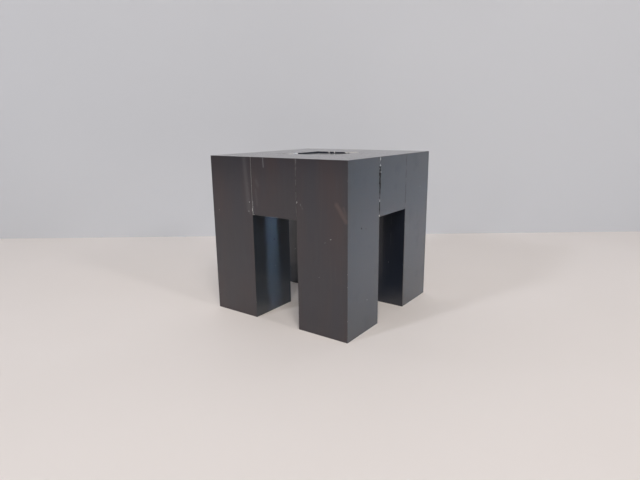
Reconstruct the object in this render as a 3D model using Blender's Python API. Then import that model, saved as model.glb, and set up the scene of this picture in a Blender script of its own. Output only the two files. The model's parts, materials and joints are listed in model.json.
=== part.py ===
"""Magnetic desk sculpture: nine dark metal blocks, held together by disc magnets.

Four square posts stand at the corners. Four short bridges join them at the top, so that every side
is an arch, and a core block fills the middle between the bridges. Wherever two blocks meet, each
mating face holds one disc magnet in an open pocket. Every bridge pulls straight out of its side, and
every post pulls out along the diagonal of its corner.

The origin is the centre of the footprint on the desk, with +Z up, and the front faces -Y.
"""

import bmesh
import bpy
from mathutils import Vector

# Driving dimensions, in metres
HEIGHT = 0.0745  # desk to the top of the posts and bridges
POST_SIDE = 0.0252  # square section of a post, and how deep a bridge reaches in
BRIDGE_LENGTH = 0.0246  # along the face, between two posts
BRIDGE_HEIGHT = 0.0256  # top to underside of a bridge
CORE_RECESS = 0.0007  # how far the core's top lies below the tops around it
SEAM = 0.0003  # gap at each joint between two blocks
EDGE_BREAK = 0.00025  # bevel along every edge of a block

MAGNET_RADIUS = 0.0050
MAGNET_THICKNESS = 0.0030
MAGNET_EDGE_BREAK = 0.0003
MAGNET_RECESS = 0.0002  # magnet's face below the block's face
POCKET_CLEARANCE = 0.0004  # glue space around and behind a magnet

ROUND_SEGMENTS = 24
CUTTER_OVERSHOOT = 0.001  # how far a pocket's cutter stands out of the face

# What follows from them
CORE_SIDE = BRIDGE_LENGTH
CORE_HEIGHT = BRIDGE_HEIGHT - CORE_RECESS
POST_OFFSET = (BRIDGE_LENGTH + POST_SIDE) / 2 + SEAM  # centre line to a post's axis, in X and in Y
BRIDGE_OFFSET = (CORE_SIDE + POST_SIDE) / 2 + SEAM  # centre line to a bridge's middle
BRIDGE_MIDDLE_Z = HEIGHT - BRIDGE_HEIGHT / 2
CORE_MIDDLE_Z = HEIGHT - CORE_RECESS - CORE_HEIGHT / 2

UP = Vector((0, 0, 1))
SIDES = {
    "front": Vector((0, -1, 0)),
    "right": Vector((1, 0, 0)),
    "back": Vector((0, 1, 0)),
    "left": Vector((-1, 0, 0)),
}
CORNERS = [("front", "left"), ("front", "right"), ("back", "left"), ("back", "right")]

# Colour, roughness and metallic value of each kind of piece
POST_FINISH = ((0.060, 0.056, 0.060), 0.32, 0.55)
BRIDGE_FINISH = ((0.056, 0.054, 0.060), 0.32, 0.55)
CORE_FINISH = ((0.064, 0.060, 0.062), 0.36, 0.55)
MAGNET_FINISH = ((0.62, 0.61, 0.58), 0.22, 1.0)


def clear_scene():
    for obj in list(bpy.data.objects):
        bpy.data.objects.remove(obj, do_unlink=True)


def give_finish(obj, finish):
    """Gives the object a material of its own."""
    colour, roughness, metallic = finish
    material = bpy.data.materials.new(obj.name + "_finish")
    material.use_nodes = True
    shader = material.node_tree.nodes["Principled BSDF"]
    shader.inputs["Base Color"].default_value = (*colour, 1)
    shader.inputs["Roughness"].default_value = roughness
    shader.inputs["Metallic"].default_value = metallic
    obj.data.materials.append(material)


def add_mesh_object(name, mesh_maker, carrier, centre):
    """Makes an object from a bmesh, at a place in the world, on the empty that carries it."""
    mesh = bpy.data.meshes.new(name)
    shape = bmesh.new()
    mesh_maker(shape)
    shape.to_mesh(mesh)
    shape.free()
    obj = bpy.data.objects.new(name, mesh)
    bpy.context.scene.collection.objects.link(obj)
    obj.parent = carrier
    obj.location = centre - carrier.location
    return obj


def add_edge_break(obj, width):
    bevel = obj.modifiers.new("edge_break", "BEVEL")
    bevel.width = width
    bevel.segments = 1
    bevel.limit_method = "ANGLE"


def add_carrier(name, centre):
    """An empty in the middle of a body, on the line that its joint slides along."""
    carrier = bpy.data.objects.new(name + "_carrier", None)
    bpy.context.scene.collection.objects.link(carrier)
    carrier.empty_display_size = POST_SIDE / 2
    carrier.location = centre
    return carrier


def add_block(name, size, centre, finish):
    """A rectangular block with its edges broken, on a carrier of its own."""

    def make_box(shape):
        bmesh.ops.create_cube(shape, size=1)
        bmesh.ops.scale(shape, vec=size, verts=shape.verts)

    block = add_mesh_object(name, make_box, add_carrier(name, centre), centre)
    add_edge_break(block, EDGE_BREAK)
    give_finish(block, finish)
    return block


def add_disc(name, radius, thickness, carrier, centre, axis):
    """A round disc with its flat faces across the axis."""

    def make_disc(shape):
        bmesh.ops.create_cone(
            shape,
            cap_ends=True,
            segments=ROUND_SEGMENTS,
            radius1=radius,
            radius2=radius,
            depth=thickness,
        )

    disc = add_mesh_object(name, make_disc, carrier, centre)
    disc.rotation_mode = "QUATERNION"
    disc.rotation_quaternion = UP.rotation_difference(axis)
    return disc


def drill_pocket(block, name, mouth, outward):
    """Cuts a magnet's blind pocket into the block, from the middle of its mouth."""
    depth = MAGNET_RECESS + MAGNET_THICKNESS + POCKET_CLEARANCE
    centre = mouth + outward * (CUTTER_OVERSHOOT - depth) / 2
    cutter = add_disc(
        name,
        MAGNET_RADIUS + POCKET_CLEARANCE,
        depth + CUTTER_OVERSHOOT,
        block.parent,
        centre,
        outward,
    )
    cutter.hide_render = True
    cutter.display_type = "WIRE"
    pocket = block.modifiers.new(name, "BOOLEAN")
    pocket.operation = "DIFFERENCE"
    pocket.solver = "EXACT"
    pocket.object = cutter


def seat_magnet(block, neighbour_name, mouth, outward):
    """Puts one magnet in the block's mating face, opposite the neighbour's."""
    name = f"magnet_{block.name}_to_{neighbour_name}"
    drill_pocket(block, "pocket_for_" + name, mouth, outward)
    centre = mouth - outward * (MAGNET_RECESS + MAGNET_THICKNESS / 2)
    magnet = add_disc(name, MAGNET_RADIUS, MAGNET_THICKNESS, block.parent, centre, outward)
    magnet.data.shade_smooth()
    magnet.data.set_sharp_from_angle(angle=0.6)
    add_edge_break(magnet, MAGNET_EDGE_BREAK)
    give_finish(magnet, MAGNET_FINISH)


def build_core():
    centre = UP * CORE_MIDDLE_Z
    core = add_block("core_block", (CORE_SIDE, CORE_SIDE, CORE_HEIGHT), centre, CORE_FINISH)
    for side, outward in SIDES.items():
        seat_magnet(core, "bridge_" + side, centre + outward * CORE_SIDE / 2, outward)


def build_bridge(side):
    """The block between the two posts of one side."""
    outward = SIDES[side]
    centre = outward * BRIDGE_OFFSET + UP * BRIDGE_MIDDLE_Z
    runs_along_x = outward.x == 0
    length, depth = BRIDGE_LENGTH, POST_SIDE
    plan = (length, depth) if runs_along_x else (depth, length)
    bridge = add_block("bridge_" + side, (*plan, BRIDGE_HEIGHT), centre, BRIDGE_FINISH)

    # The magnet that meets the core's sits at the core's height.
    inner_mouth = outward * (BRIDGE_OFFSET - depth / 2) + UP * CORE_MIDDLE_Z
    seat_magnet(bridge, "core_block", inner_mouth, -outward)
    for corner in CORNERS:
        if side in corner:
            towards_post = SIDES[corner[0] if corner[1] == side else corner[1]]
            mouth = centre + towards_post * length / 2
            seat_magnet(bridge, "post_" + "_".join(corner), mouth, towards_post)


def build_post(corner):
    """The full-height block at one corner, with a magnet towards each of its two bridges."""
    outwards = [SIDES[side] for side in corner]
    centre = (outwards[0] + outwards[1]) * POST_OFFSET + UP * HEIGHT / 2
    post = add_block(
        "post_" + "_".join(corner), (POST_SIDE, POST_SIDE, HEIGHT), centre, POST_FINISH
    )
    joint_rise = UP * (BRIDGE_MIDDLE_Z - HEIGHT / 2)
    for side, other_outward in zip(corner, reversed(outwards)):
        towards_bridge = -other_outward
        mouth = centre + joint_rise + towards_bridge * POST_SIDE / 2
        seat_magnet(post, "bridge_" + side, mouth, towards_bridge)


clear_scene()
build_core()
for side_name in SIDES:
    build_bridge(side_name)
for corner_sides in CORNERS:
    build_post(corner_sides)
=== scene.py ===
import json
import math
import random

import bmesh
import bpy
from mathutils import Matrix, Vector


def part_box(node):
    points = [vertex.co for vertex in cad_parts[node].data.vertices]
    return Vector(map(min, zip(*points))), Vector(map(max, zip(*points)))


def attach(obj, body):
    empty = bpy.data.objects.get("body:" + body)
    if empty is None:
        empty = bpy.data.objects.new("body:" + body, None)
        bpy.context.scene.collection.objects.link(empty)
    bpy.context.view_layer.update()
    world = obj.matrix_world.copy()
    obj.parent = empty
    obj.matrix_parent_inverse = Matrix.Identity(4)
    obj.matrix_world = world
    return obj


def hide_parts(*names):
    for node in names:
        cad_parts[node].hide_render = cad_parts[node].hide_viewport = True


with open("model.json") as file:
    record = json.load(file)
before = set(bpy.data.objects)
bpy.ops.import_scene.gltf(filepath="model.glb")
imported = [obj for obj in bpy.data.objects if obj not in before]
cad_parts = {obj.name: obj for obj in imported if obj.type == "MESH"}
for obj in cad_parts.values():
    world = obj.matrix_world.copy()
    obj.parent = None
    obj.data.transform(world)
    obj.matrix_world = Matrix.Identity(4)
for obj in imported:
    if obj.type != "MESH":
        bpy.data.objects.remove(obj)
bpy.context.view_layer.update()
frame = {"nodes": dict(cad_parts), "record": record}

# The looks of the magnetic desk sculpture: satin charcoal blocks with chipped seams, nickel-plated
# disc magnets in their mating faces, a white table and a pale wall behind it.

MM = 0.001

# How the visible blocks differ from the plain CAD ones
CAD_SEAM = 0.3 * MM  # gap that the CAD keeps where real faces touch
SEAM = 0.06 * MM  # gap that shows
ARRIS = 0.12 * MM  # width of a broken edge
POCKET_FIT = 0.10 * MM  # play around a magnet in its pocket
POCKET_MOUTH = 0.25 * MM  # chamfer around a pocket's mouth
POCKET_DEPTH = 3.5 * MM  # from the visible face
POCKET_OVERSHOOT = 0.5 * MM  # how far a pocket's cutter reaches out of the block
MAGNET_FILLET = 0.35 * MM  # radius of a magnet's rounded rims
FILLET_STEPS = 4
DISC_SEGMENTS = 64

# The camera, a little above the object and looking slightly down; angles in degrees
CAMERA_AZIMUTH = 35.25  # from the front, towards the right
CAMERA_REACH = 235 * MM  # from the object's upright axis
CAMERA_HEIGHT = 87 * MM
CAMERA_HEADING = 35.80  # from straight back, towards the left
CAMERA_TILT = -13.30
CAMERA_ROLL = -0.65
LENS_MM = 27.0
SENSOR_MM = 36.0

# The satin charcoal finish. Its tones are the cool one, the warm one and the one of the clouds.
OUTER_TONES = ((0.011, 0.009, 0.016), (0.021, 0.009, 0.011), (0.011, 0.009, 0.014))
# The mating faces' tones are darker and bluer than the outer ones: painted shade on the inner faces of the
# legs, which these faces form.
MATING_TONES_WITH_PAINTED_SHADE = ((0.005, 0.010, 0.023), (0.007, 0.011, 0.021), (0.005, 0.008, 0.018))
PAINTED_COOL_LIGHT_TONE = (0.018, 0.026, 0.036)  # painted reflection: a cooler tone that stands in for the bluish light on faces towards the right
# how much of the painted cool light a face turned fully to the right takes
PAINTED_COOL_LIGHT_SHARE = 0.85
GRAIN_TONE = (0.026, 0.024, 0.026)
WORN_TONE = (0.26, 0.26, 0.26)
FINISH_ROUGHNESS = 0.42
FINISH_IOR = 1.57
COAT_ROUGHNESS = 0.14
COAT_IOR = 1.41
COAT_WEIGHT = 0.92
HAIRLINE_TURNS = (0.35, -0.6, 1.1)  # radians, one for each set of hairlines
HAIRLINE_STRENGTH = 0.12
DUST_STRENGTH = 0.25
MATING_RUB = 0.4  # how strongly the mating faces are scuffed
FINE_BUMP = 0.02 * MM
COARSE_BUMP = 0.03 * MM

# How much of a block's seam edges is rubbed, and how far towards bare metal
SEAM_WEAR = {
    "post_front_left": (1.0, 0.45),
    "bridge_front": (0.5, 0.20),
    "post_front_right": (0.5, 0.30),
    "bridge_right": (0.45, 0.55),
}
USUAL_WEAR = (0.30, 0.30)  # on the other blocks
OUTER_WEAR = (0.04, 0.19)  # on the edges away from a seam

# Stage and lights
WALL_DISTANCE = 386 * MM  # from the camera, along its heading
STAGE_SIZE = 6.0
LIGHT_TARGET = Vector((0, 0, 0.03))

# Each light's azimuth from the front and elevation in degrees, distance, width and height, energy,
# colour and spread in degrees. The first three light the scene, the fourth cools the right faces, and
# the last shines through the right arch onto the inner face of the left post.
LIGHTS = {
    "left_light": (-17, 28.5, 1.0, (0.11, 0.11), 2.5, (0.90, 0.92, 1.0), 180),
    "right_light": (86, 27.0, 1.0, (0.11, 0.11), 1.7, (0.97, 0.92, 0.92), 180),
    "front_light": (41, 45.0, 1.3, (0.62, 0.62), 4.75, (1.0, 0.93, 0.865), 120),
    "side_light": (100, 9.0, 1.2, (0.70, 0.50), 0.20, (0.40, 0.65, 1.0), 60),
    "arch_light": (124, 1.5, 1.0, (0.30, 0.08), 0.019, (0.46, 0.70, 1.0), 5),
}
WORLD_COLOUR = (1.0, 1.0, 1.0)
WORLD_STRENGTH = 0.09

FACES = {
    "front": Vector((0, -1, 0)),
    "right": Vector((1, 0, 0)),
    "back": Vector((0, 1, 0)),
    "left": Vector((-1, 0, 0)),
    "top": Vector((0, 0, 1)),
    "bottom": Vector((0, 0, -1)),
}
BLOCK_NODES = [name for name in sorted(frame["nodes"]) if not name.startswith("magnet_")]
MAGNET_NODES = [name for name in sorted(frame["nodes"]) if name.startswith("magnet_")]
BODY_OF = {
    node: body for body, nodes in frame["record"]["behaviour"]["bodies"].items() for node in nodes
}


# ---------------------------------------------------------------- materials


class Recipe:
    """A material's node tree, with short calls for the steps that repeat."""

    # A Mix node's sockets for two colours and for the colour between them
    MIX_FIRST = 6
    MIX_SECOND = 7
    MIX_RESULT = 2

    def __init__(self, name):
        self.material = bpy.data.materials.new(name)
        self.material.use_nodes = True
        self.tree = self.material.node_tree
        self.shader = self.tree.nodes["Principled BSDF"]
        self.place = self.node("ShaderNodeTexCoord").outputs["Object"]

    def node(self, kind, **settings):
        made = self.tree.nodes.new(kind)
        for name, value in settings.items():
            setattr(made, name, value)
        return made

    def feed(self, socket, source):
        """Links a source, or sets a plain value."""
        if isinstance(source, bpy.types.NodeSocket):
            self.tree.links.new(source, socket)
        else:
            socket.default_value = source

    def noise(self, scale, detail=2.0, stretch=(1, 1, 1), turn=(0, 0, 0), shift=(0, 0, 0)):
        """Noise with features about 1 / scale metres wide, drawn out along the axes stretched least."""
        mapping = self.node("ShaderNodeMapping")
        self.feed(mapping.inputs["Vector"], self.place)
        mapping.inputs["Rotation"].default_value = turn
        mapping.inputs["Scale"].default_value = stretch
        mapping.inputs["Location"].default_value = shift
        texture = self.node("ShaderNodeTexNoise")
        self.feed(texture.inputs["Vector"], mapping.outputs["Vector"])
        texture.inputs["Scale"].default_value = scale
        texture.inputs["Detail"].default_value = detail
        return texture.outputs["Fac"]

    def ramp(self, value, start, end, low=0.0, high=1.0):
        """Carries a value from low at start to high at end, smoothly, and holds it outside."""
        ramp = self.node("ShaderNodeMapRange", interpolation_type="SMOOTHSTEP")
        self.feed(ramp.inputs["Value"], value)
        ramp.inputs["From Min"].default_value = min(start, end)
        ramp.inputs["From Max"].default_value = max(start, end)
        ramp.inputs["To Min"].default_value = low if start < end else high
        ramp.inputs["To Max"].default_value = high if start < end else low
        return ramp.outputs["Result"]

    def math(self, operation, first, second=0.0, clamp=False):
        step = self.node("ShaderNodeMath", operation=operation, use_clamp=clamp)
        self.feed(step.inputs[0], first)
        self.feed(step.inputs[1], second)
        return step.outputs["Value"]

    def vector(self, operation, first, second=(0, 0, 0)):
        step = self.node("ShaderNodeVectorMath", operation=operation)
        self.feed(step.inputs[0], first)
        if operation == "SCALE":
            self.feed(step.inputs["Scale"], second)
        else:
            self.feed(step.inputs[1], second)
        return step.outputs["Value" if operation in ("DOT_PRODUCT", "LENGTH") else "Vector"]

    def blend(self, factor, first, second):
        """A colour between two."""
        mix = self.node("ShaderNodeMix", data_type="RGBA", clamp_factor=True)
        self.feed(mix.inputs["Factor"], factor)
        for socket, source in ((self.MIX_FIRST, first), (self.MIX_SECOND, second)):
            self.feed(mix.inputs[socket], (*source, 1) if isinstance(source, tuple) else source)
        return mix.outputs[self.MIX_RESULT]

    def bump(self, height, strength, distance, under=None):
        bump = self.node("ShaderNodeBump")
        bump.inputs["Strength"].default_value = strength
        bump.inputs["Distance"].default_value = distance
        self.feed(bump.inputs["Height"], height)
        if under is not None:
            self.feed(bump.inputs["Normal"], under)
        return bump.outputs["Normal"]

    def stroke(self, start, end, width, soft, wobble=0.0):
        """1 on a line between two points and 0 beyond half its width, through a soft edge."""
        place = self.place
        if wobble:
            drift = self.ramp(self.noise(260, 3.0), 0, 1, -wobble, wobble)
            place = self.vector("ADD", place, self.vector("SCALE", (1, 0.7, 0.4), drift))
        run = end - start
        offset = self.vector("SUBTRACT", place, tuple(start))
        share = self.vector("DOT_PRODUCT", offset, tuple(run / run.length_squared))
        share = self.math("ADD", share, 0.0, clamp=True)
        nearest = self.vector("SCALE", tuple(run), share)
        distance = self.vector("LENGTH", self.vector("SUBTRACT", offset, nearest))
        return self.ramp(distance, width / 2 * (1 + soft), width / 2 * (1 - soft))


def seam_stretch(r, block):
    """1 where a block's mating faces meet their neighbours, 0 on the legs of a post below that."""
    if not block.startswith("post_"):
        return 1.0
    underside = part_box("bridge_front")[0].z
    height = r.node("ShaderNodeSeparateXYZ")
    r.feed(height.inputs[0], r.place)
    return r.ramp(height.outputs["Z"], underside - 0.3 * MM, underside)


def tint(r, tones, shift):
    """The finish's colour: broad upright bands and clouds of its own, and a painted reflection, a cooler
    tone on faces to the right in place of bluish light from that side.
    """
    bands = r.ramp(r.noise(75, 3.0, stretch=(1, 1, 0.22), shift=shift), 0.34, 0.66)
    colour = r.blend(bands, tones[0], tones[1])
    clouds = r.ramp(r.noise(45, 3.0, shift=shift), 0.40, 0.70, 0.0, 0.7)
    colour = r.blend(clouds, colour, tones[2])
    # Painted reflection: faces turned to the right are tinted cooler, for the bluish light that falls on
    # them.
    facing = r.node("ShaderNodeSeparateXYZ")
    r.feed(facing.inputs[0], r.node("ShaderNodeTexCoord").outputs["Normal"])
    rightward = r.ramp(facing.outputs["X"], 0.5, 0.9, 0.0, PAINTED_COOL_LIGHT_SHARE)
    return r.blend(rightward, colour, PAINTED_COOL_LIGHT_TONE)


def wear(r, block, seed, rubbed, shift):
    """Where the finish is worn pale: hairlines in patches, specks and, on mating faces, scuffs."""
    hairlines = None
    for turn in HAIRLINE_TURNS:
        lines = r.noise(900, 1.0, stretch=(1, 1, 0.02), turn=(turn, turn, 0), shift=shift)
        patch = r.ramp(r.noise(120, 1.0, shift=(turn, seed, 0)), 0.54, 0.66)
        lines = r.math("MULTIPLY", r.ramp(lines, 0.76, 0.84), patch)
        hairlines = lines if hairlines is None else r.math("MAXIMUM", hairlines, lines)
    hairlines = r.math("MULTIPLY", hairlines, HAIRLINE_STRENGTH)
    dust = r.ramp(r.noise(2600, 1.0, shift=shift), 0.82, 0.87)
    worn = r.math("MAXIMUM", hairlines, r.math("MULTIPLY", dust, DUST_STRENGTH))
    if rubbed:
        scuffs = r.ramp(r.noise(420, 5.0, stretch=(1, 1, 0.5), shift=shift), 0.60, 0.78, 0.0, rubbed)
        worn = r.math("MAXIMUM", worn, r.math("MULTIPLY", scuffs, seam_stretch(r, block)))
    return worn


def finish_material(name, block, seed, tones, marks=(), rubbed=0.0):
    """The satin charcoal finish under a thin clear coat, with its grain, wear and streaks."""
    r = Recipe(name)
    shift = (seed * 0.37, seed * 0.53, seed * 0.29)
    colour = tint(r, tones, shift)
    grain = r.noise(1600, 3.0, stretch=(1, 1, 0.05), shift=shift)
    colour = r.blend(r.ramp(grain, 0.45, 0.80, 0.0, 0.25), colour, GRAIN_TONE)
    worn = wear(r, block, seed, rubbed, shift)
    colour = r.blend(worn, colour, WORN_TONE)

    smudges = r.ramp(r.noise(95, 4.0, shift=shift), 0.50, 0.72)
    roughness = r.ramp(smudges, 0, 1, FINISH_ROUGHNESS, FINISH_ROUGHNESS + 0.05)
    for mark in marks:
        mask = r.stroke(mark.start, mark.end, mark.width, mark.soft, mark.wobble)
        if mark.broken:
            mask = r.math("MULTIPLY", mask, r.ramp(r.noise(mark.broken, 2.0), 0.40, 0.60))
        mask = r.math("MULTIPLY", mask, mark.strength)
        colour = r.blend(mask, colour, mark.colour)
        roughness = r.math("ADD", roughness, r.math("MULTIPLY", mask, 0.15))
    roughness = r.math("ADD", roughness, r.math("MULTIPLY", worn, 0.2))

    r.feed(r.shader.inputs["Base Color"], colour)
    r.feed(r.shader.inputs["Roughness"], roughness)
    r.shader.inputs["IOR"].default_value = FINISH_IOR
    r.shader.inputs["Coat Weight"].default_value = COAT_WEIGHT
    r.shader.inputs["Coat Roughness"].default_value = COAT_ROUGHNESS
    r.shader.inputs["Coat IOR"].default_value = COAT_IOR
    fine = r.bump(r.noise(5200, 2.0, shift=shift), 0.05, FINE_BUMP)
    r.feed(r.shader.inputs["Normal"], r.bump(grain, 0.03, FINE_BUMP, fine))
    return r.material


def edge_material(name, block, seed, bare, level):
    """A broken edge, its finish rubbed towards bare metal over a share of its length, to a level."""
    r = Recipe(name)
    patches = r.noise(700, 4.0, shift=(seed, seed * 0.7, 0))
    shown = r.ramp(patches, 0.66 - 0.46 * bare, 0.78 - 0.48 * bare, 0.0, level)
    shown = r.math("MULTIPLY", shown, seam_stretch(r, block))
    colour = r.blend(shown, (0.034, 0.031, 0.033), (0.40, 0.40, 0.40))
    r.feed(r.shader.inputs["Base Color"], colour)
    r.feed(r.shader.inputs["Metallic"], r.math("MULTIPLY", shown, 0.5))
    r.feed(r.shader.inputs["Roughness"], r.ramp(patches, 0.3, 0.7, 0.30, 0.45))
    r.feed(r.shader.inputs["Normal"], r.bump(r.noise(3000, 3.0), 0.3, FINE_BUMP))
    return r.material


def cleft_shade_material():
    """The walls of open seams and dark pits: near-black patches of painted shade, where light would not
    reach in the nick, among patches of the finish's dark tone.
    """
    r = Recipe("nick_painted_shade")
    patches = r.noise(1500, 3.0)
    colour = r.blend(r.ramp(patches, 0.40, 0.65), (0.002, 0.002, 0.003), (0.010, 0.009, 0.010))
    r.feed(r.shader.inputs["Base Color"], colour)
    r.feed(r.shader.inputs["Roughness"], r.ramp(patches, 0.3, 0.7, 0.5, 0.7))
    r.feed(r.shader.inputs["Normal"], r.bump(r.noise(5000, 3.0), 0.5, COARSE_BUMP))
    return r.material


def chip_material():
    """Bare metal in the hollow of a chip, dull and uneven."""
    r = Recipe("chipped_metal")
    patches = r.noise(1800, 4.0)
    colour = r.blend(r.ramp(patches, 0.35, 0.65), (0.37, 0.37, 0.37), (0.76, 0.75, 0.73))
    r.feed(r.shader.inputs["Base Color"], colour)
    r.shader.inputs["Metallic"].default_value = 0.5
    r.feed(r.shader.inputs["Roughness"], r.ramp(patches, 0.3, 0.7, 0.35, 0.55))
    r.feed(r.shader.inputs["Normal"], r.bump(r.noise(6000, 3.0), 0.6, COARSE_BUMP))
    return r.material


def bore_material():
    """The machined wall and floor of a magnet's pocket, with patches of dark glue."""
    r = Recipe("pocket_bore")
    glue = r.ramp(r.noise(450, 3.0), 0.42, 0.60)
    colour = r.blend(glue, (0.40, 0.40, 0.41), (0.05, 0.045, 0.04))
    r.feed(r.shader.inputs["Base Color"], colour)
    r.feed(r.shader.inputs["Metallic"], r.math("SUBTRACT", 1.0, glue))
    r.feed(r.shader.inputs["Roughness"], r.ramp(glue, 0, 1, 0.35, 0.55))
    r.feed(r.shader.inputs["Normal"], r.bump(r.noise(2500, 2.0), 0.3, COARSE_BUMP))
    return r.material


def magnet_material():
    """Nickel plating with polishing haze, hairlines and a few dull rub marks."""
    r = Recipe("nickel_plating")
    haze = r.noise(300, 4.0)
    rub = r.ramp(r.noise(900, 3.0, stretch=(1, 1, 0.2)), 0.55, 0.75)
    colour = r.blend(r.ramp(haze, 0.35, 0.65), (0.66, 0.64, 0.60), (0.72, 0.71, 0.68))
    colour = r.blend(r.math("MULTIPLY", rub, 0.5), colour, (0.45, 0.44, 0.42))
    r.feed(r.shader.inputs["Base Color"], colour)
    r.shader.inputs["Metallic"].default_value = 1.0
    roughness = r.ramp(haze, 0.3, 0.7, 0.16, 0.26)
    r.feed(r.shader.inputs["Roughness"], r.math("ADD", roughness, r.math("MULTIPLY", rub, 0.15)))
    r.feed(r.shader.inputs["Normal"], r.bump(r.noise(4000, 2.0), 0.05, FINE_BUMP))
    return r.material


# ---------------------------------------------------------------- marks and chips


class Mark:
    """A streak on one face of a block, from one point to another.

    A point is given as (across, down) in millimetres: across from the face's left edge, as seen from
    outside, and down from its top. The width and the wobble are in millimetres too. A soft streak of 1
    fades from its middle line, and broken is the scale of the noise that breaks a streak up.
    """

    def __init__(self, face, start, end, width, strength, colour, soft, broken=0, wobble=0):
        self.face = face
        self.start = start
        self.end = end
        self.width = width * MM
        self.strength = strength
        self.colour = colour
        self.soft = soft
        self.broken = broken
        self.wobble = wobble * MM

    def place_on(self, box):
        """Turns the ends into points on the face of a block's box."""
        self.start = on_face(box, self.face, *self.start)
        self.end = on_face(box, self.face, *self.end)


def on_face(box, face, across, down):
    """The point on an upright face of a box that lies across and down, in millimetres, from its corner."""
    low, high = box
    normal = FACES[face]
    rightward = FACES["top"].cross(normal)
    corner = Vector(high[i] if normal[i] > 0 else low[i] for i in range(3))
    for i in range(2):
        if rightward[i]:
            corner[i] = low[i] if rightward[i] > 0 else high[i]
    corner.z = high.z
    return corner + rightward * across * MM - FACES["top"] * down * MM


TAN = (0.16, 0.10, 0.08)
PALE = (0.24, 0.24, 0.25)
HAZE = (0.070, 0.066, 0.070)
MARKS = {
    "post_front_left": [
        Mark("front", (21.4, 0.5), (23.0, 23.5), 2.0, 0.40, HAZE, soft=0.9),
        Mark("front", (22.8, 11.0), (23.6, 25.0), 1.2, 0.40, HAZE, soft=0.9, broken=900),
    ],
    "bridge_front": [
        Mark("front", (7.15, 0.0), (7.35, 4.1), 0.50, 0.40, PALE, soft=1.0),
        Mark("front", (2.8, 10.2), (3.6, 12.2), 1.4, 0.30, HAZE, soft=0.9),
        Mark("front", (2.3, 14.3), (2.9, 21.0), 0.9, 0.30, HAZE, soft=0.9),
        Mark("front", (0.1, 19.6), (0.4, 25.6), 0.8, 0.60, PALE, soft=0.6, broken=1200, wobble=0.1),
    ],
    "post_front_right": [
        Mark("front", (0.15, 0.3), (0.15, 5.0), 0.50, 0.35, PALE, soft=0.8, broken=500),
        Mark("front", (2.2, 18.6), (2.5, 19.3), 0.45, 0.35, PALE, soft=0.7, broken=1500),
        Mark("front", (3.0, 19.8), (3.3, 20.5), 0.45, 0.30, PALE, soft=0.7, broken=1500),
        Mark("front", (20.2, 17.4), (24.6, 23.6), 1.6, 0.24, TAN, soft=0.95, wobble=0.2),
        Mark("front", (23.4, 18.4), (24.7, 21.4), 1.0, 0.12, TAN, soft=0.95),
    ],
}

# Larger chips, as (block, the edge's two faces in the order of FACES, distance along the edge from its
# upper, left or front end, half length, half size in the direction of each face), in millimetres. The
# seam between the near post and the right bridge is the badly chipped one. Others lie at the core's
# rim, and a few along the front seams.
CHIPS = [
    ("bridge_front", ("front", "left"), 24.6, 1.1, 0.30, 0.45),
    ("bridge_front", ("front", "left"), 22.6, 0.8, 0.18, 0.25),
    ("bridge_front", ("front", "bottom"), 0.5, 0.8, 0.25, 0.30),
    ("post_front_left", ("front", "right"), 23.4, 1.0, 0.20, 0.22),
    ("post_front_right", ("front", "left"), 17.9, 0.5, 0.25, 0.60),
    ("bridge_right", ("front", "right"), 0.9, 0.7, 0.50, 0.35),
    ("post_front_right", ("right", "back"), 2.4, 0.7, 0.22, 0.70),
    ("post_front_right", ("right", "back"), 4.8, 0.5, 0.20, 0.80),
    ("bridge_right", ("front", "right"), 3.6, 0.4, 0.70, 0.18),
    ("bridge_right", ("front", "right"), 6.4, 0.5, 0.75, 0.18),
    ("post_front_right", ("right", "back"), 7.6, 0.4, 0.18, 0.75),
    ("bridge_right", ("front", "right"), 10.3, 0.4, 0.72, 0.15),
    ("post_front_right", ("right", "back"), 11.9, 0.4, 0.15, 0.75),
    ("bridge_right", ("front", "right"), 13.4, 0.4, 0.70, 0.15),
    ("post_front_right", ("right", "back"), 15.2, 0.4, 0.18, 0.60),
    ("post_front_right", ("right", "back"), 17.4, 0.8, 0.35, 0.50),
    ("bridge_right", ("front", "right"), 18.6, 0.5, 0.25, 0.30),
    ("post_front_right", ("right", "back"), 22.3, 0.9, 0.30, 0.50),
    ("bridge_right", ("front", "right"), 21.6, 0.5, 0.20, 0.25),
    ("post_front_right", ("right", "back"), 25.0, 0.6, 0.30, 0.40),
    ("bridge_right", ("front", "right"), 25.1, 0.6, 0.25, 0.35),
    ("bridge_left", ("right", "top"), 1.9, 1.4, 0.90, 0.60),
    ("bridge_left", ("right", "top"), 4.4, 1.6, 1.00, 0.70),
    ("bridge_left", ("right", "top"), 7.1, 1.3, 0.70, 0.65),
    ("bridge_front", ("back", "top"), 1.1, 1.1, 0.90, 0.28),
    ("bridge_front", ("back", "top"), 3.1, 1.2, 0.70, 0.24),
    ("post_front_left", ("back", "top"), 20.6, 1.8, 0.90, 0.34),
    ("post_front_left", ("back", "top"), 23.6, 1.6, 0.90, 0.40),
    ("bridge_back", ("front", "top"), 7.0, 0.35, 0.25, 0.60),
    ("bridge_back", ("front", "top"), 10.3, 0.40, 0.25, 0.65),
    ("bridge_back", ("front", "top"), 17.6, 1.3, 1.10, 0.55),
    ("bridge_back", ("front", "top"), 20.2, 1.6, 1.40, 0.55),
    ("bridge_back", ("front", "top"), 23.0, 1.6, 1.30, 0.50),
    ("bridge_right", ("left", "top"), 22.6, 1.2, 0.60, 0.30),
]

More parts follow.
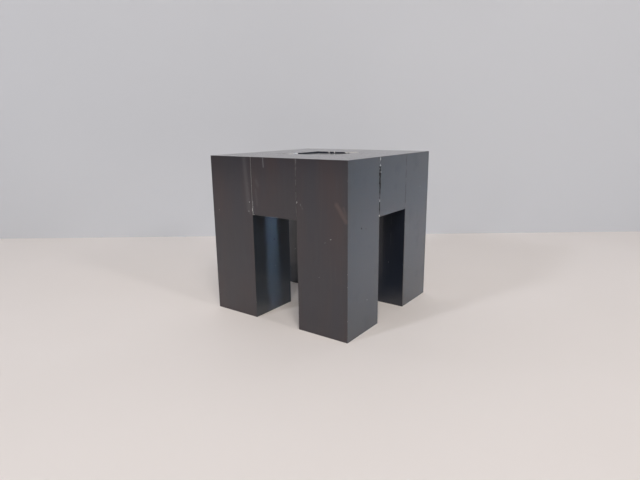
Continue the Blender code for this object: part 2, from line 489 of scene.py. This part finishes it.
# Stretches where a seam stands open, as (block, the face, the mating face, from, to, width), in
# millimetres from the edge's upper or left end
CLEFTS = [
    ("post_front_right", "right", "back", 1.4, 16.6, 0.92),
    ("bridge_right", "right", "front", 3.6, 16.4, 0.82),
    ("post_front_right", "right", "back", 17.4, 21.6, 0.42),
    ("bridge_right", "right", "front", 18.2, 25.3, 0.40),
    ("post_front_right", "right", "back", 22.4, 25.4, 0.30),
    ("bridge_left", "top", "front", 19.6, 24.6, 0.30),
]
CLEFT_STEP = 0.7 * MM  # between two rings of a cleft's wedge
CLEFT_DEPTH = 2.2 * MM
CLEFT_OVERSHOOT = 0.4 * MM  # how far the wedge reaches out of the block
CLEFT_END = 0.05  # share of the full width at either end
CLEFT_RAGGED = (0.45, 1.25)  # random share of the width at each ring
CLEFT_SPILL = 1.1  # how much wider the wedge is outside the face

# Pits, as (block, face, across, down, radius, whether bare metal shows), in millimetres
PITS = [
    ("post_front_left", "front", 23.7, 20.0, 0.22, True),
    ("post_front_left", "front", 23.1, 24.1, 0.18, True),
    ("post_front_left", "right", 13.9, 39.5, 0.45, False),
    ("post_front_left", "right", 12.8, 40.1, 0.18, False),
    ("post_front_right", "front", 14.4, 33.4, 0.13, True),
    ("post_front_right", "front", 17.3, 31.6, 0.19, True),
    ("post_front_right", "right", 10.4, 28.0, 0.42, False),
    ("post_front_right", "right", 14.0, 28.7, 0.26, False),
]
PIT_FLATNESS = 0.45
PIT_STRAYS = 5  # small pits of each kind at random places on each block
STRAY_RADIUS = (0.08, 0.16)  # in millimetres, as are the next two
STRAY_ACROSS = (2, 23)
STRAY_MARGIN = 2  # from the top and the bottom

# The small chips that every edge has: the usual step between two and the range of their size, both
# in millimetres, and the random shares that each chip's step, length and widths vary by
SEAM_CHIPS = (2.1, (0.05, 0.11))
OUTER_CHIPS = (9.0, (0.06, 0.14))
FIRST_STEP_SHARE = (0.2, 1.0)
STEP_SHARE = (0.3, 1.7)
LENGTH_SHARE = (0.8, 2.6)
WIDTH_SHARE = (0.4, 1.0)
LUMP_JAG = (0.78, 1.12)  # random share of its radius at each corner of a lump
LARGE_LUMP = 0.3 * MM  # half length from which a lump is finer
EDGE_END = 0.2 * MM  # kept free of small chips at the far end of an edge
FIRST_SEED = 40  # plus a block's number, the seed of that block's random numbers


def chips_along(rng, edge, normals, spacing, sizes):
    """Small chips at uneven steps along an edge, as (middle, axes, half sizes)."""
    start, end = edge
    length = (end - start).length
    along = (end - start).normalized()
    travelled = rng.uniform(*FIRST_STEP_SHARE) * spacing
    chips = []
    while travelled < length - EDGE_END:
        size = rng.uniform(*sizes)
        half = [size * rng.uniform(*share) for share in (LENGTH_SHARE, WIDTH_SHARE, WIDTH_SHARE)]
        chips.append((start + along * travelled, (along, *normals), half))
        travelled += spacing * rng.uniform(*STEP_SHARE)
    return chips


def add_lump(shape, rng, middle, axes, half):
    """Adds one jagged lump to a cutter."""
    subdivisions = 2 if max(half) > LARGE_LUMP else 1
    lump = bmesh.ops.create_icosphere(shape, subdivisions=subdivisions, radius=1)
    basis = Matrix(axes).transposed()
    roll = Matrix.Rotation(rng.uniform(-0.5, 0.5), 3, "X")
    swing = Matrix.Rotation(rng.uniform(-0.2, 0.2), 3, "Z")
    for vert in lump["verts"]:
        jagged = vert.co * rng.uniform(*LUMP_JAG)
        scaled = Vector(jagged[i] * half[i] for i in range(3))
        vert.co = middle + basis @ (roll @ swing @ scaled)


def add_cleft(shape, rng, edge, stretch, width, face, mating):
    """Adds a ragged wedge that opens a seam: widest at the face, closing deeper in."""
    start, end = edge
    along = (end - start).normalized()
    first, last = (value * MM for value in stretch)
    steps = max(3, round((last - first) / CLEFT_STEP))
    rings = []
    for step in range(steps + 1):
        share = step / steps
        swell = math.sin(math.pi * share) ** 0.5 if 0 < step < steps else CLEFT_END
        reach = width * MM * swell * rng.uniform(*CLEFT_RAGGED)
        base = start + along * (first + (last - first) * share)
        corners = (
            base + FACES[mating] * CLEFT_OVERSHOOT + FACES[face] * CLEFT_OVERSHOOT,
            base - FACES[mating] * reach * CLEFT_SPILL + FACES[face] * CLEFT_OVERSHOOT,
            base + FACES[mating] * CLEFT_OVERSHOOT - FACES[face] * CLEFT_DEPTH,
        )
        rings.append([shape.verts.new(corner) for corner in corners])
    shape.faces.new(rings[0])
    shape.faces.new(rings[-1])
    for lower, upper in zip(rings, rings[1:]):
        for side in range(3):
            after = (side + 1) % 3
            shape.faces.new((lower[side], lower[after], upper[after], upper[side]))


# ---------------------------------------------------------------- places, from the frame


def magnets_of(block):
    """The CAD nodes of the magnets in one block."""
    return [name for name in MAGNET_NODES if name.startswith(f"magnet_{block}_to_")]


def host_of(magnet):
    """The block that a magnet sits in."""
    return next(name for name in BLOCK_NODES if magnet.startswith(f"magnet_{name}_to_"))


def magnet_place(node):
    """(centre, radius, thickness, outward direction) of a magnet, from its CAD box."""
    low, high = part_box(node)
    size = high - low
    axis = min(range(3), key=lambda i: size[i])
    centre = (low + high) / 2
    block_low, block_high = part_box(host_of(node))
    block_centre = (block_low + block_high) / 2
    outward = Vector((0, 0, 0))
    outward[axis] = 1 if centre[axis] > block_centre[axis] else -1
    return centre, max(size) / 2, size[axis], outward


def visible_box(block):
    """The block's CAD box, grown on its mating faces until only a fine seam is left."""
    low, high = (corner.copy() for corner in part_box(block))
    growth = (CAD_SEAM - SEAM) / 2
    for face in mating_faces(block):
        for i in range(3):
            high[i] += growth * max(FACES[face][i], 0)
            low[i] += growth * min(FACES[face][i], 0)
    return low, high


def mating_faces(block):
    """Names of the faces that hold a magnet."""
    outwards = [magnet_place(node)[3] for node in magnets_of(block)]
    return [name for name, normal in FACES.items() if any(normal == outward for outward in outwards)]


def box_edges(box):
    """{(face, face): (start, end)} for the twelve edges of a box."""
    low, high = box
    names = list(FACES)
    edges = {}
    for i, first in enumerate(names):
        for second in names[i + 1 :]:
            if FACES[first].dot(FACES[second]):
                continue
            along = FACES[first].cross(FACES[second])
            ends = []
            for side in (-1, 1):
                reach = FACES[first] + FACES[second] + along * side
                ends.append(Vector(high[k] if reach[k] > 0 else low[k] for k in range(3)))
            edges[(first, second)] = tuple(sorted(ends, key=lambda p: (-p.z, p.x, p.y)))
    return edges


# ---------------------------------------------------------------- blocks and magnets


def lumps_of(block, box, rng):
    """The bare-metal lumps to cut from one block: (middle, axes, half sizes)."""
    mating = mating_faces(block)
    lumps = []
    for edge_faces, edge in box_edges(box).items():
        normals = tuple(FACES[face] for face in edge_faces)
        seam = any(face in mating for face in edge_faces) and "bottom" not in edge_faces
        spacing, sizes = SEAM_CHIPS if seam else OUTER_CHIPS
        lumps += chips_along(rng, edge, normals, spacing * MM, [size * MM for size in sizes])
        start, end = edge
        along = (end - start).normalized()
        for name, faces, distance, *half in CHIPS:
            if (name, faces) == (block, edge_faces):
                middle = start + along * distance * MM
                lumps.append((middle, (along, *normals), [value * MM for value in half]))
    return lumps


def pits_of(block, box, rng, bare):
    """One block's pits, those that show bare metal or those that don't: (middle, axes, half sizes)."""
    placed = [pit[1:5] for pit in PITS if pit[0] == block and pit[5] == bare]
    height = (box[1].z - box[0].z) / MM
    for _ in range(PIT_STRAYS):
        face = rng.choice(["front", "right", "back", "left"])
        across = rng.uniform(*STRAY_ACROSS)
        down = rng.uniform(STRAY_MARGIN, height - STRAY_MARGIN)
        placed.append((face, across, down, rng.uniform(*STRAY_RADIUS)))
    pits = []
    for face, across, down, radius in placed:
        size = radius * MM
        sideways = FACES["top"].cross(FACES[face])
        axes = (FACES[face], sideways, FACES["top"])
        pits.append((on_face(box, face, across, down), axes, (size * PIT_FLATNESS, size, size)))
    return pits


def object_from(name, shape):
    """A new object in the scene from a bmesh, which is freed."""
    mesh = bpy.data.meshes.new(name)
    shape.to_mesh(mesh)
    shape.free()
    obj = bpy.data.objects.new(name, mesh)
    bpy.context.scene.collection.objects.link(obj)
    return obj


def carve(target, cutter):
    """Cuts the cutter out of the target for good. The new faces take the cutter's material."""
    cut = target.modifiers.new("cut", "BOOLEAN")
    cut.operation = "DIFFERENCE"
    cut.solver = "EXACT"
    cut.use_self = True
    cut.material_mode = "TRANSFER"
    cut.object = cutter
    depsgraph = bpy.context.evaluated_depsgraph_get()
    carved = bpy.data.meshes.new_from_object(target.evaluated_get(depsgraph))
    target.modifiers.remove(cut)
    target.data = carved
    bpy.data.objects.remove(cutter, do_unlink=True)


def turned(shape, profile, centre, outward):
    """Adds a closed turned body to a bmesh: the profile's (radius, height) points, spun about outward."""
    basis = FACES["top"].rotation_difference(outward).to_matrix()
    rings = []
    for radius, height in profile:
        if radius == 0:
            rings.append([shape.verts.new(centre + basis @ Vector((0, 0, height)))])
            continue
        ring = []
        for step in range(DISC_SEGMENTS):
            angle = 2 * math.pi * step / DISC_SEGMENTS
            point = Vector((radius * math.cos(angle), radius * math.sin(angle), height))
            ring.append(shape.verts.new(centre + basis @ point))
        rings.append(ring)
    for lower, upper in zip(rings, rings[1:]):
        for step in range(DISC_SEGMENTS):
            after = (step + 1) % DISC_SEGMENTS
            if len(lower) == 1:
                shape.faces.new((lower[0], upper[after], upper[step]))
            elif len(upper) == 1:
                shape.faces.new((lower[step], lower[after], upper[0]))
            else:
                shape.faces.new((lower[step], lower[after], upper[after], upper[step]))
    bmesh.ops.recalc_face_normals(shape, faces=shape.faces[:])


def pocket_cutter(block, box):
    """All the magnet pockets of one block, each with a chamfered mouth."""
    shape = bmesh.new()
    low, high = box
    for node in magnets_of(block):
        centre, radius, _, outward = magnet_place(node)
        axis = max(range(3), key=lambda i: abs(outward[i]))
        mouth = centre.copy()
        mouth[axis] = high[axis] if outward[axis] > 0 else low[axis]
        bore = radius + POCKET_FIT
        profile = [
            (0, -POCKET_DEPTH),
            (bore, -POCKET_DEPTH),
            (bore, -POCKET_MOUTH),
            (bore + POCKET_MOUTH + POCKET_OVERSHOOT, POCKET_OVERSHOOT),
            (0, POCKET_OVERSHOOT),
        ]
        turned(shape, profile, mouth, outward)
    return object_from("pockets_" + block, shape)


def chip_cutter(block, box, rng):
    """The lumps that leave bare metal."""
    shape = bmesh.new()
    for middle, axes, half in lumps_of(block, box, rng) + pits_of(block, box, rng, True):
        add_lump(shape, rng, middle, axes, half)
    bmesh.ops.recalc_face_normals(shape, faces=shape.faces[:])
    return object_from("chips_" + block, shape)


def nick_cutter(block, box, rng):
    """The open stretches of seam and the pits that stay dark, in painted shade."""
    shape = bmesh.new()
    edges = box_edges(box)
    for name, face, mating, first, last, width in CLEFTS:
        if name == block:
            edge = edges.get((face, mating)) or edges[(mating, face)]
            add_cleft(shape, rng, edge, (first, last), width, face, mating)
    for middle, axes, half in pits_of(block, box, rng, False):
        add_lump(shape, rng, middle, axes, half)
    bmesh.ops.recalc_face_normals(shape, faces=shape.faces[:])
    return object_from("nicks_" + block, shape)


def build_block(block, number):
    """Builds the detailed block that stands for one CAD block."""
    rng = random.Random(FIRST_SEED + number)
    box = visible_box(block)
    low, high = box
    mating = mating_faces(block)
    shape = bmesh.new()
    bmesh.ops.create_cube(shape, size=1)
    bmesh.ops.scale(shape, vec=high - low, verts=shape.verts)
    bmesh.ops.translate(shape, vec=(low + high) / 2, verts=shape.verts)
    bmesh.ops.bevel(
        shape, geom=shape.edges[:], offset=ARRIS, segments=2, profile=0.5, affect="EDGES"
    )
    shape.normal_update()
    for face in shape.faces:
        # Slots: outer finish, outer edges, mating finish (darker and bluer as painted shade), seam edges.
        touched = [name for name, normal in FACES.items() if face.normal.dot(normal) > 0.1]
        on_seam = any(name in mating for name in touched)
        face.material_index = 2 * on_seam + (len(touched) > 1)
    piece = object_from(block + "_body", shape)

    marks = MARKS.get(block, [])
    for mark in marks:
        mark.place_on(box)
    seam_wear = SEAM_WEAR.get(block, USUAL_WEAR)
    for material in (
        finish_material(block + "_finish", block, number, OUTER_TONES, marks),
        edge_material(block + "_outer_edges", block, number, *OUTER_WEAR),
        finish_material(block + "_mating_finish_and_painted_shade", block, number, MATING_TONES_WITH_PAINTED_SHADE, rubbed=MATING_RUB),
        edge_material(block + "_seam_edges", block, number, *seam_wear),
    ):
        piece.data.materials.append(material)

    for cutter, material in (
        (pocket_cutter(block, box), BORE),
        (nick_cutter(block, box, rng), NICK_SHADE),
        # the nicks take the near-black painted shade
        (chip_cutter(block, box, rng), CHIP),
    ):
        cutter.data.materials.append(material)
        carve(piece, cutter)

    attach(piece, BODY_OF[block])
    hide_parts(block)


def build_magnet(node):
    """Builds a disc with rounded rims in place of the plain CAD one."""
    centre, radius, thickness, outward = magnet_place(node)
    half = thickness / 2
    profile = [(0, -half)]
    for side in (-1, 1):
        for step in range(FILLET_STEPS + 1):
            angle = math.pi / 2 * step / FILLET_STEPS
            if side < 0:
                angle = math.pi / 2 - angle
            inset = MAGNET_FILLET * (1 - math.cos(angle))
            drop = MAGNET_FILLET * (1 - math.sin(angle))
            profile.append((radius - inset, side * (half - drop)))
    profile.append((0, half))
    shape = bmesh.new()
    turned(shape, profile, centre, outward)
    piece = object_from(node + "_disc", shape)
    piece.data.shade_smooth()
    piece.data.set_sharp_from_angle(angle=math.radians(40))
    piece.data.materials.append(NICKEL)
    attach(piece, BODY_OF[node])
    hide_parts(node)


# ---------------------------------------------------------------- stage


def heading_vector():
    """The level direction that the camera looks in."""
    heading = math.radians(CAMERA_HEADING)
    return Vector((-math.sin(heading), math.cos(heading), 0))


def camera_spot():
    """The camera's place."""
    azimuth = math.radians(CAMERA_AZIMUTH)
    return Vector(
        (CAMERA_REACH * math.sin(azimuth), -CAMERA_REACH * math.cos(azimuth), CAMERA_HEIGHT)
    )


def add_camera():
    data = bpy.data.cameras.new("camera")
    data.lens = LENS_MM
    data.sensor_width = SENSOR_MM
    data.clip_start = 0.01
    data.clip_end = 20
    camera = bpy.data.objects.new("camera", data)
    bpy.context.scene.collection.objects.link(camera)
    turn = (
        Matrix.Rotation(math.radians(CAMERA_HEADING), 4, "Z")
        @ Matrix.Rotation(math.radians(90 + CAMERA_TILT), 4, "X")
        @ Matrix.Rotation(math.radians(CAMERA_ROLL), 4, "Z")
    )
    camera.matrix_world = Matrix.Translation(camera_spot()) @ turn
    bpy.context.scene.camera = camera


def floor_material():
    r = Recipe("table_top")
    cloud = r.noise(6, 3.0)
    colour = r.blend(r.ramp(cloud, 0.35, 0.65), (0.775, 0.738, 0.713), (0.795, 0.758, 0.735))
    r.feed(r.shader.inputs["Base Color"], colour)
    r.shader.inputs["Roughness"].default_value = 0.55
    r.shader.inputs["Specular IOR Level"].default_value = 0.3
    r.feed(r.shader.inputs["Normal"], r.bump(r.noise(900, 2.0), 0.05, 0.05 * MM))
    return r.material


def wall_material():
    """Pale paint, seen from the front only, so that it hides nothing from behind."""
    r = Recipe("wall_paint")
    cloud = r.noise(5, 2.0)
    colour = r.blend(r.ramp(cloud, 0.35, 0.65), (0.53, 0.545, 0.57), (0.55, 0.565, 0.59))
    r.feed(r.shader.inputs["Base Color"], colour)
    r.shader.inputs["Roughness"].default_value = 0.9
    r.shader.inputs["Specular IOR Level"].default_value = 0.2
    behind = r.node("ShaderNodeNewGeometry").outputs["Backfacing"]
    clear = r.node("ShaderNodeBsdfTransparent")
    switch = r.node("ShaderNodeMixShader")
    r.feed(switch.inputs[0], behind)
    r.feed(switch.inputs[1], r.shader.outputs["BSDF"])
    r.feed(switch.inputs[2], clear.outputs["BSDF"])
    r.feed(r.tree.nodes["Material Output"].inputs["Surface"], switch.outputs["Shader"])
    return r.material


def add_sheet(name, corners, material):
    shape = bmesh.new()
    shape.faces.new([shape.verts.new(corner) for corner in corners])
    sheet = object_from(name, shape)
    sheet.data.materials.append(material)


def add_stage():
    half = STAGE_SIZE / 2
    table = [(-half, -half, 0), (half, -half, 0), (half, half, 0), (-half, half, 0)]
    add_sheet("table", [Vector(corner) for corner in table], floor_material())
    forward = heading_vector()
    sideways = forward.cross(FACES["top"])
    base = camera_spot() + forward * WALL_DISTANCE
    base.z = 0
    wall = [
        base + sideways * -half,
        base + sideways * half,
        base + sideways * half + FACES["top"] * half,
        base + sideways * -half + FACES["top"] * half,
    ]
    add_sheet("wall", wall, wall_material())


def add_area_light(name, place, size, energy, colour, spread):
    data = bpy.data.lights.new(name, "AREA")
    data.shape = "ELLIPSE"
    data.size, data.size_y = size
    data.energy = energy
    data.color = colour
    data.spread = math.radians(spread)
    light = bpy.data.objects.new(name, data)
    bpy.context.scene.collection.objects.link(light)
    light.location = place
    light.rotation_mode = "QUATERNION"
    light.rotation_quaternion = (LIGHT_TARGET - place).to_track_quat("-Z", "Y")


def add_lights():
    """The area lights, all aimed at the middle of the object, and an even white surround."""
    for name, (azimuth, elevation, distance, size, energy, colour, spread) in LIGHTS.items():
        turn, rise = math.radians(azimuth), math.radians(elevation)
        level = math.cos(rise)
        towards = Vector((math.sin(turn) * level, -math.cos(turn) * level, math.sin(rise)))
        add_area_light(name, LIGHT_TARGET + towards * distance, size, energy, colour, spread)
    world = bpy.data.worlds.new("surround")
    world.use_nodes = True
    background = world.node_tree.nodes["Background"]
    background.inputs["Color"].default_value = (*WORLD_COLOUR, 1)
    background.inputs["Strength"].default_value = WORLD_STRENGTH
    bpy.context.scene.world = world


CHIP = chip_material()
NICK_SHADE = cleft_shade_material()
BORE = bore_material()
NICKEL = magnet_material()

bpy.context.scene.view_settings.view_transform = "Standard"
add_camera()
add_stage()
add_lights()
for number, block_name in enumerate(BLOCK_NODES):
    build_block(block_name, number)
for magnet_name in MAGNET_NODES:
    build_magnet(magnet_name)
